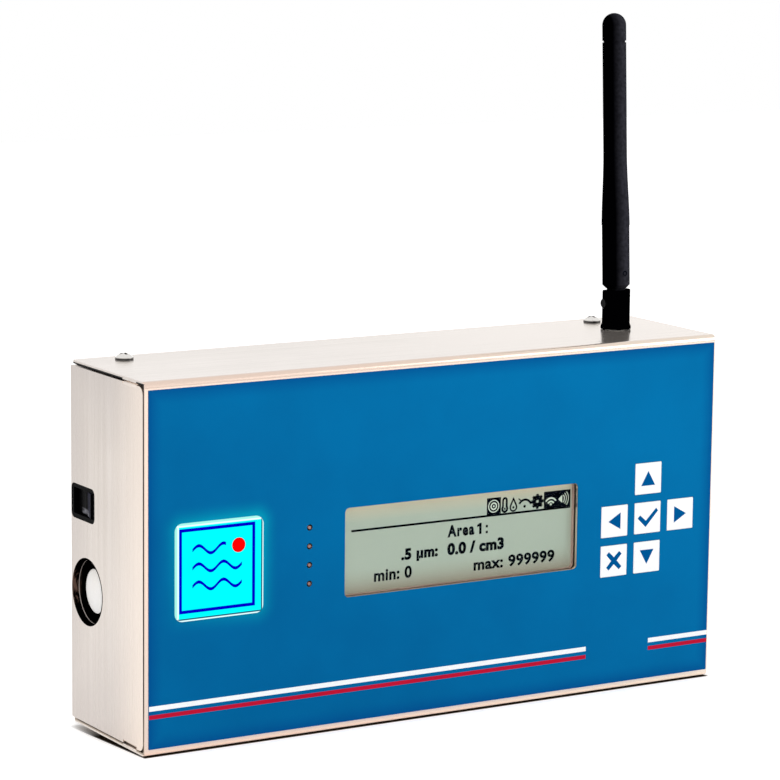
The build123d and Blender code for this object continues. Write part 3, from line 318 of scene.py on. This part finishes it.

# The face film is deep blue ink under a satin skin, darker along its border, brightened towards
# the right and the top by painted light, and given a painted glow round the badge for what leaks
# past its rim.
film = Finish("blue film", Specular_IOR_Level=0.02)
badge_across, badge_up = film.along("X") - BADGE_X, film.along("Z") - BADGE_Z
past_x = (abs(badge_across) - BADGE_STRAIGHT).most(0.0)
past_z = (abs(badge_up) - BADGE_STRAIGHT).most(0.0)
reach = (past_x * past_x + past_z * past_z) ** 0.5 - BADGE_ROUND
lean = film.spread(badge_across + badge_up, -0.03, 0.03, 0.25, 1.5)
halo = film.spread(reach, 0.0, 0.006, 1.0, 0.0) ** 2.2 * lean
mottle = film.spread(film.noise(40, 3), 0.35, 0.65, 0.0, 1.0)
skin = film.noise(3500, 2)
painted_light = film.spread(film.along("X") + film.along("Z") * 1.5, 0.0, 0.2, 0.0, 1.0)
from_sides = FILM_HALF_WIDTH - abs(film.along("X") - FILM_X)
from_border = from_sides.least(FILM_HALF_HEIGHT - abs(film.along("Z") - FILM_Z))
border = film.spread(from_border, 0.0, 0.005, 0.8, 0.0) ** 1.5
field = film.blend(mottle * 0.25 + painted_light * 0.75, colour("#006198"), colour("#0072AC"))
film.set(
    Base_Color=film.blend(border, field, colour("#00498C")),
    Emission_Color=film.blend(halo, BLACK, colour("#006A5C")),
    Emission_Strength=1.0,
    Roughness=film.spread(skin, 0.3, 0.7, 0.36, 0.46),
)
film.relief(skin, 0.06, 0.00003)
film.wear("face_overlay")

# The badge's lit panel.
panel = Finish("lit panel", Roughness=0.3, Emission_Strength=1.0, Specular_IOR_Level=0.0)
glow = panel.spread(panel.noise(90, 1), 0.3, 0.7, 0.0, 1.0)
panel_tone = panel.blend(glow, colour("#00F8F8"), colour("#00FFFF"))
panel.set(Base_Color=colour("#003A3E"), Emission_Color=panel_tone)
panel.wear("badge_panel")

# The rim guides light, cyan down its inner walls. Its face has painted highlights, pale on the two
# sides up and left. On the other two it has painted shade within and a white painted highlight at
# its outer edge.
rim = Finish("clear rim", Roughness=0.2, Emission_Strength=0.9, Specular_IOR_Level=0.1)
rim_across, rim_up = rim.along("X") - BADGE_X, rim.along("Z") - BADGE_Z
off_middle = abs(rim_across).most(abs(rim_up))
on_face = rim.spread(off_middle, 0.0141, 0.0142, 0.0, 1.0)
outer = rim.spread(off_middle, 0.01455, 0.01465, 0.0, 1.0)
low_right = rim.spread(rim_across - rim_up, -0.0004, 0.0004, 0.0, 1.0)
pale_highlight = rim.blend(outer, colour("#EEFFFF"), colour("#A6F0E2"))
shade_and_highlight = rim.blend(outer, colour("#005A74"), colour("#E2FFFF"))
rim_tone = rim.blend(on_face, colour("#04F4F8"), rim.blend(low_right, pale_highlight, shade_and_highlight))
rim.set(Base_Color=rim.blend(0.8, rim_tone, BLACK), Emission_Color=rim_tone)
rim.wear("badge_rim")

# The display has a clear window over a lit glass, which turns warm along its top and dim along its
# bottom and its right.
window = Finish("clear window", Roughness=0.02, Transmission_Weight=1.0, IOR=1.08)
window.set(Base_Color=window.blend(window.noise(50, 1), colour("#FBFCFB"), colour("#FFFFFF")))
window.wear("display_window")
lcd = Finish("display glass", Roughness=0.3, Emission_Strength=0.5, Specular_IOR_Level=0.05)
top_edge = lcd.spread(lcd.along("Z"), 0.0665, 0.0715, 0.0, 1.0)
low_edge = lcd.spread(lcd.along("Z"), 0.052, 0.0435, 0.0, 1.0)
right_edge = lcd.spread(lcd.along("X"), 0.0485, 0.0538, 0.0, 1.0)
warmed = lcd.blend(top_edge, colour("#A8B5A6"), colour("#C8C3A9"))
ground = lcd.blend(low_edge.most(right_edge) ** 1.5, warmed, colour("#958F7D"))
lcd.set(Base_Color=lcd.blend(0.55, ground, BLACK), Emission_Color=ground)
lcd.wear("lcd_glass")
back = Finish("display backlight", Roughness=0.5, Emission_Strength=0.4)
back_tone = back.blend(back.noise(80, 1), colour("#C0B898"), colour("#CCC6AC"))
back.set(Base_Color=colour("#C9C2A6"), Emission_Color=back_tone)
back.wear("lcd_backlight")


def ink(name, chip, chip_to, gloss, on_glass=False):
    """Ink printed on the display's glass or, coarser, on film."""
    if on_glass:
        return moulded(name + " ink", chip, 0.5, grain=4000, relief=0.02, chip_to=chip_to, gloss=gloss)
    return moulded(name + " ink", chip, 0.42, grain=3500, relief=0.03, chip_to=chip_to, gloss=gloss)


black_ink = ink("black", "#01040C", "#030812", 0.0, on_glass=True)
pale_ink = ink("pale", "#A8B5A6", "#ACB8AA", 0.1, on_glass=True)
white_ink = ink("white", "#FAFCFC", "#FFFFFF", 0.5)
red_ink = ink("red", "#BC0F30", "#C41234", 0.05)
blue_ink = ink("blue", "#005492", "#005896", 0.0)
line_ink = ink("shadow_line", "#000030", "#000034", 0.0)
lamp_ink = ink("lamp", "#800000", "#880000", 0.0)
# These three are lit from behind.
line_ink.set(Emission_Color=colour("#0000CC"), Emission_Strength=0.95)
lamp_ink.set(Emission_Color=colour("#FF0404"), Emission_Strength=0.8)
pale_ink.set(Emission_Color=colour("#A8B5A6"), Emission_Strength=0.35)


# ---------------------------------------------------------------- pieces
# From here on, places on the instrument are in millimetres.
LAYER = 0.02
FILM_FRONT_Y = -26.05
GLASS_Y = -22.25
LETTER_DEPTH = 0.002


def finish_piece(bm, name, finish, body):
    """Keeps a modelled piece, with its normals outward, on the body it rides."""
    bmesh.ops.remove_doubles(bm, verts=bm.verts, dist=1e-7)
    bmesh.ops.recalc_face_normals(bm, faces=bm.faces)
    mesh = bpy.data.meshes.new(name)
    bm.to_mesh(mesh)
    bm.free()
    mesh.materials.append(finish.material)
    piece = bpy.data.objects.new(name, mesh)
    bpy.context.scene.collection.objects.link(piece)
    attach(piece, body)


def ink_shape(bm, outline, face_y, thickness=LAYER):
    """Adds a printed shape, given as x and z, standing off a face at face_y."""
    corners = [bm.verts.new((x * MM, face_y * MM, z * MM)) for x, z in outline]
    bottom = bm.faces.new(corners)
    grown = bmesh.ops.extrude_face_region(bm, geom=[bottom])
    risen = [item for item in grown["geom"] if isinstance(item, bmesh.types.BMVert)]
    bmesh.ops.translate(bm, verts=risen, vec=(0, -thickness * MM, 0))


def printed(name, outlines, face_y, finish, body):
    """A piece of flat printed shapes on a face."""
    bm = bmesh.new()
    for outline in outlines:
        ink_shape(bm, outline, face_y)
    finish_piece(bm, name, finish, body)


def bar(x0, x1, z0, z1):
    """A rectangle."""
    return [(x0, z0), (x1, z0), (x1, z1), (x0, z1)]


# Stripes along the film's lower part, with a gap between two stretches.
STRETCHES = ((-103.8, 55.6), (80.4, 104.3))
stripes = {"white_stripe": (16.2, 17.7, white_ink), "red_stripe": (13.67, 14.97, red_ink)}
for name, (bottom_z, top_z, stripe_ink) in stripes.items():
    outlines = [bar(x0, x1, bottom_z, top_z) for x0, x1 in STRETCHES]
    printed(name, outlines, FILM_FRONT_Y, stripe_ink, "enclosure")

# Symbols on the keys.
KEY_PITCH, KEY_X, KEY_Z = 13.1, 79.0, 58.35
ARROW = [(-2.75, -2.4), (2.75, -2.4), (0, 2.4)]
TICK = [(-3.9, 0.0), (-2.93, 0.96), (-0.6, -1.0), (3.43, 2.96), (4.2, 1.96), (-0.68, -3.1)]
CROSS = [(0.1, 1.15), (2.1, 3.05), (3.1, 2.1), (1.2, 0), (3.1, -2.1), (2.1, -3.05),
         (0.1, -1.15), (-1.9, -3.05), (-2.9, -2.1), (-1.0, 0), (-2.9, 2.1), (-1.9, 3.05)]
keys = {
    "up": (0, 1, ARROW, 0), "left": (-1, 0, ARROW, 90), "confirm": (0, 0, TICK, 0),
    "right": (1, 0, ARROW, -90), "cancel": (-1, -1, CROSS, 0), "down": (0, -1, ARROW, 180),
}
for name, (column, row, symbol, degrees) in keys.items():
    centre_x, centre_z = KEY_X + column * KEY_PITCH, KEY_Z + row * KEY_PITCH
    c, s = cos(radians(degrees)), sin(radians(degrees))
    outline = [(centre_x + c * x - s * z, centre_z + s * x + c * z) for x, z in symbol]
    printed(f"key_{name}_symbol", [outline], FILM_FRONT_Y, blue_ink, f"key_{name}_body")


def readout(name, text, x0, x1, z0, z1, weight, pitch=1.06):
    """A line of generic readout that fills x0 to x1 and z0 to z1 on the display."""
    curve = bpy.data.curves.new(name, "FONT")
    curve.body = text
    curve.offset = weight
    curve.space_character = pitch
    curve.extrude = LETTER_DEPTH
    curve.resolution_u = 4
    draft = bpy.data.objects.new(name + "_draft", curve)
    bpy.context.scene.collection.objects.link(draft)
    bpy.context.view_layer.update()
    bm = bmesh.new()
    bm.from_mesh(bpy.data.meshes.new_from_object(draft))
    bpy.data.objects.remove(draft)
    left, far = min(v.co.x for v in bm.verts), max(v.co.x for v in bm.verts)
    low, high = min(v.co.y for v in bm.verts), max(v.co.y for v in bm.verts)
    wide, tall = (x1 - x0) * MM / (far - left), (z1 - z0) * MM / (high - low)
    deep = LAYER * MM / (2 * LETTER_DEPTH)
    bmesh.ops.translate(bm, verts=bm.verts, vec=(-left, -low, 0))
    bmesh.ops.scale(bm, verts=bm.verts, vec=(wide, tall, deep))
    bmesh.ops.rotate(bm, verts=bm.verts, matrix=Matrix.Rotation(radians(90), 3, "X"))
    bmesh.ops.translate(bm, verts=bm.verts, vec=(x0 * MM, (GLASS_Y - LAYER / 2) * MM, z0 * MM))
    finish_piece(bm, name, black_ink, "enclosure")


readout("area_line", "Area", 4.1, 14.2, 58.4, 62.4, 0.045, 1.2)
readout("count_size", ".5 µm:", -13.0, 0.6, 52.0, 56.5, 0.055)
readout("count_value", "0.0 / cm3", 4.1, 25.5, 52.6, 56.6, 0.054)
readout("low_line", "min: 0", -22.9, -9.0, 46.9, 50.9, 0.034)
readout("high_line", "max: 999999", 14.1, 45.1, 46.5, 50.5, 0.035)


def on_display(name, outlines, finish=black_ink, layer=0):
    """Printed shapes on the display; a second layer lies on top of the first."""
    printed(name, outlines, GLASS_Y - layer * LAYER, finish, "enclosure")


def arc_band(x, z, inner, outer, start, end, steps=10):
    """A band round a centre between two angles in degrees."""
    angles = [radians(start + (end - start) * step / steps) for step in range(steps + 1)]
    rim_points = [(x + outer * cos(a), z + outer * sin(a)) for a in angles]
    core_points = [(x + inner * cos(a), z + inner * sin(a)) for a in reversed(angles)]
    return rim_points + core_points


def disc(x, z, radius, steps=16):
    """A full disc."""
    angles = [2 * pi * step / steps for step in range(steps)]
    return [(x + radius * cos(a), z + radius * sin(a)) for a in angles]


def ring(x, z, inner, outer):
    """Two half rings, since one outline can't hold a hole."""
    return [arc_band(x, z, inner, outer, 0, 180), arc_band(x, z, inner, outer, 180, 360)]


# The figure one of the area line, its colon, and the rule under the icons.
FIGURE_ONE = [(16.0, 58.4), (16.9, 58.4), (16.9, 62.0), (16.2, 62.0),
              (15.2, 61.4), (15.2, 60.7), (16.0, 61.0)]
on_display("area_figure", [FIGURE_ONE, bar(18.5, 19.3, 58.4, 59.2), bar(18.5, 19.3, 60.3, 61.1)])
on_display("title_rule", [bar(-31.3, 50.8, 63.65, 64.35)])

# Icons along the display's top: a target, a thermometer, a drop, a gauge, a gear, radio and sound.
ROW_Z = 66.95
TARGET_X = 21.4
target = ring(TARGET_X, ROW_Z, 1.8, 2.1) + ring(TARGET_X, ROW_Z, 0.8, 1.25)
on_display("target_box", [bar(18.8, 24.1, 64.2, 69.7)])
on_display("target_rings", target + [disc(TARGET_X, ROW_Z, 0.32)], pale_ink, 1)
on_display("thermometer", [
    arc_band(25.6, 65.7, 0.6, 1.35, 120, 420),
    bar(24.6, 25.25, 66.5, 68.5),
    bar(25.95, 26.7, 66.5, 68.5),
    arc_band(25.65, 68.5, 0.3, 1.02, 0, 180),
    disc(25.6, 65.7, 0.36),
])
on_display("drop", [
    arc_band(28.9, 65.9, 0.95, 1.5, 150, 390),
    [(27.55, 66.6), (28.1, 66.4), (28.9, 68.1), (28.9, 69.3)],
    [(30.25, 66.6), (28.9, 69.3), (28.9, 68.1), (29.7, 66.4)],
    disc(28.9, 65.85, 0.4),
])
on_display("gauge", [
    arc_band(33.3, 65.5, 2.1, 2.85, 20, 150),
    disc(33.2, 65.8, 0.48),
    [(30.7, 68.4), (31.0, 68.7), (31.9, 67.9), (31.6, 67.6)],
])
GEAR_X, TEETH, TOOTH_ROOT, TOOTH_CROWN, HALF_TOOTH = 38.1, 8, 1.6, 2.45, 0.5
gear = ring(GEAR_X, ROW_Z, 0.45, 2.0)
for tooth in range(TEETH):
    bearing = radians(360 / TEETH * tooth)
    outward = Vector((cos(bearing), sin(bearing)))
    half = Vector((-sin(bearing), cos(bearing))) * HALF_TOOTH
    root, crown = outward * TOOTH_ROOT, outward * TOOTH_CROWN
    corners = (root - half, crown - half, crown + half, root + half)
    gear.append([(GEAR_X + x, ROW_Z + z) for x, z in corners])
on_display("gear", gear)
RADIO_X, RADIO_Z, SOUND_X = 43.3, 65.2, 46.9
on_display("radio_box", [bar(40.6, 50.9, 63.9, 69.8)])
on_display("radio_waves", [
    disc(RADIO_X, 65.5, 0.35, 10),
    arc_band(RADIO_X, RADIO_Z, 1.0, 1.5, 30, 150),
    arc_band(RADIO_X, RADIO_Z, 2.1, 2.6, 35, 145),
    [(46.2, 66.9), (47.7, 68.2), (47.7, 65.6)],
    arc_band(SOUND_X, ROW_Z, 1.5, 1.8, -45, 45),
    arc_band(SOUND_X, ROW_Z, 2.3, 2.55, -45, 45),
    arc_band(SOUND_X, ROW_Z, 3.1, 3.35, -42, 42),
], pale_ink, 1)

# The badge's print: a blue frame, three streams of air and a round status lamp, all given from
# the badge's middle.
PANEL_Y, PANEL_X, PANEL_Z = -24.95, -80.0, 58.0


def on_badge(name, outlines, finish):
    moved = [[(PANEL_X + x, PANEL_Z + z) for x, z in outline] for outline in outlines]
    printed(name, moved, PANEL_Y, finish, "enclosure")


FRAME, FRAME_INNER = 13.1, 12.1
on_badge("badge_frame", [
    bar(-FRAME, FRAME, FRAME_INNER, FRAME),
    bar(-FRAME, FRAME, -FRAME, -FRAME_INNER),
    bar(-FRAME, -FRAME_INNER, -FRAME_INNER, FRAME_INNER),
    bar(FRAME_INNER, FRAME, -FRAME_INNER, FRAME_INNER),
], line_ink)
STREAM_START, STREAM_ENDS, STREAM_STEPS = -8.5, (3.0, 8.5, 8.5), 24
TOP_STREAM_Z, STREAM_PITCH, WAVE_HEIGHT, WAVE_LENGTH, HALF_LINE = 6.2, 5.6, 1.3, 8.5, 0.5
streams = []
for row, end in enumerate(STREAM_ENDS):
    middle_z = TOP_STREAM_Z - STREAM_PITCH * row
    crest = []
    for step in range(STREAM_STEPS + 1):
        along = (end - STREAM_START) * step / STREAM_STEPS
        crest.append((STREAM_START + along, middle_z + WAVE_HEIGHT * sin(along / WAVE_LENGTH * 2 * pi)))
    under = [(x, z - HALF_LINE) for x, z in crest]
    streams.append(under + [(x, z + HALF_LINE) for x, z in reversed(crest)])
on_badge("badge_streams", streams, line_ink)
on_badge("badge_lamp", [disc(7.4, 6.4, 2.3, 24)], lamp_ink)

# The moulding dimple on the whip's sleeve, a ring that stands just proud of its round side.
bm = bmesh.new()
for band in ring(83.35, 136.0, 0.5, 0.85):
    ink_shape(bm, band, -3.8, 0.27)
finish_piece(bm, "sleeve_dimple", black_ink, "antenna_whip_body")

# ---------------------------------------------------------------- stage
# The instrument stands on the heads of its two floor screws, near the back, and on the foot of its
# front bend, so the floor slopes a little.
screw_foot, bend_foot = Vector((0, 17.15, 0.0)) * MM, Vector((0, -23.75, 1.75)) * MM
FLOOR_HALF = 3.0
bm = bmesh.new()
bmesh.ops.create_grid(bm, x_segments=1, y_segments=1, size=FLOOR_HALF)
mesh = bpy.data.meshes.new("floor")
bm.to_mesh(mesh)
bm.free()
floor = bpy.data.objects.new("floor", mesh)
bpy.context.scene.collection.objects.link(floor)
tilt = Vector((0, 1, 0)).rotation_difference((screw_foot - bend_foot).normalized())
floor.matrix_world = Matrix.Translation(screw_foot) @ tilt.to_matrix().to_4x4()


class Surround(Finish):
    """The studio's own surfaces."""

    def __init__(self, owner):
        owner.use_nodes = True
        self.tree = owner.node_tree

    def end(self, kind, values, socket):
        """Makes one shader the whole surface."""
        target = next(n for n in self.tree.nodes if n.type in ("OUTPUT_MATERIAL", "OUTPUT_WORLD"))
        self.tree.links.new(self.add(kind, None, values).socket, target.inputs[socket])

    def axis(self, vector, letter):
        """One part of a direction or place."""
        return self.add("ShaderNodeSeparateXYZ", None, {0: vector}, "XYZ".index(letter))

    def ray(self, kind):
        return self.add("ShaderNodeLightPath", None, None, f"Is {kind} Ray")

    def direct(self):
        """One for what the camera sees, straight or through a clear surface."""
        return self.ray("Camera").most(self.ray("Transmission"))


def grey(level):
    return (level, level, level, 1)


# The floor is white to the camera, and less bright to what it lights and to what mirrors it.
# Beside the enclosure it has a painted shadow, dark as where no light gets in.
BOX_HALF_WIDTH, BOX_HALF_DEPTH = 0.105, 0.0258
SEEN_LEVEL, MIRRORED_LEVEL, LIGHTING_LEVEL = 1.7, 1.1, 0.8
pale = bpy.data.materials.new("pale floor")
mesh.materials.append(pale)
ground = Surround(pale)
ground_place = ground.add("ShaderNodeNewGeometry")
ground_x, ground_y = ground.axis(ground_place, "X"), ground.axis(ground_place, "Y")
past_side = (abs(ground_x) - BOX_HALF_WIDTH).most(0.0)
past_front = (abs(ground_y) - BOX_HALF_DEPTH).most(0.0)
away = (past_side * past_side + past_front * past_front) ** 0.5
shadow_line = ground.spread(away, 0.0, 0.0011, 1.0, 0.0)
contact_shadow = shadow_line.most(ground.spread(away, 0.0, 0.007, 0.35, 0.0))
contact_shadow = contact_shadow * ground.spread(ground_y, 0.008, BOX_HALF_DEPTH, 1.0, 0.35)
seen = ground.blend(contact_shadow, grey(SEEN_LEVEL), (0.02, 0.015, 0.01, 1))
unseen = ground.blend(ground.ray("Glossy"), grey(LIGHTING_LEVEL), grey(MIRRORED_LEVEL))
ground.end("ShaderNodeBsdfDiffuse", {0: ground.blend(ground.direct(), unseen, seen)}, "Surface")

# The sky is white all round. Shiny surfaces alone see it dimmer overhead, and in a low band on the
# side that the instrument faces. What it lights gets a little less.
world = bpy.data.worlds.new("studio")
bpy.context.scene.world = world
sky = Surround(world)
way = sky.add("ShaderNodeTexCoord", None, None, "Generated")
ahead = sky.spread(sky.axis(way, "Y"), -0.75, -0.25, 1.0, 0.0)
low_band = sky.spread(sky.axis(way, "Z"), 0.05, 0.35, 1.0, 0.0)
overhead = sky.spread(sky.axis(way, "Z"), 0.3, 0.5, 0.0, 0.2)
shiny = sky.ray("Glossy")
level = sky.spread(sky.direct().most(shiny), 0.0, 1.0, 0.7, 1.0)
strength = level * (1 - shiny * (0.3 * ahead * low_band + overhead))
sky.end("ShaderNodeBackground", {0: grey(1), 1: strength}, "Surface")


def lamp(name, place, aim, size, power):
    """A soft square light, in metres and watts."""
    light = bpy.data.lights.new(name, "AREA")
    light.shape = "SQUARE"
    light.size = size
    light.energy = power
    holder = bpy.data.objects.new(name, light)
    holder.location = place
    holder.rotation_euler = (Vector(aim) - Vector(place)).to_track_quat("-Z", "Y").to_euler()
    bpy.context.scene.collection.objects.link(holder)


FACE_MIDDLE = (0, 0, 0.06)
lamp("key_light", (-0.5, -1.1, 1.1), FACE_MIDDLE, 0.9, 9)
lamp("fill_light", (1.2, -0.9, 0.7), FACE_MIDDLE, 0.9, 4)

# ---------------------------------------------------------------- camera
CAMERA_PLACE = Vector((-560.238, -917.52, 283.052)) * MM
yaw, pitch, roll = 0.5448, 0.1661, -0.0112
forward = Vector((sin(yaw) * cos(pitch), cos(yaw) * cos(pitch), -sin(pitch)))
level_right = Vector((cos(yaw), -sin(yaw), 0))
level_down = forward.cross(level_right)
right = cos(roll) * level_right + sin(roll) * level_down
down = -sin(roll) * level_right + cos(roll) * level_down
camera_data = bpy.data.cameras.new("camera")
camera_data.lens = 157.36
camera_data.sensor_width = 36
camera_data.clip_start = 0.05
camera_data.clip_end = 20
camera = bpy.data.objects.new("camera", camera_data)
axes = Matrix((right, -down, -forward)).transposed()
camera.matrix_world = Matrix.Translation(CAMERA_PLACE) @ axes.to_4x4()
bpy.context.scene.collection.objects.link(camera)
bpy.context.scene.camera = camera
bpy.context.scene.view_settings.view_transform = "Standard"
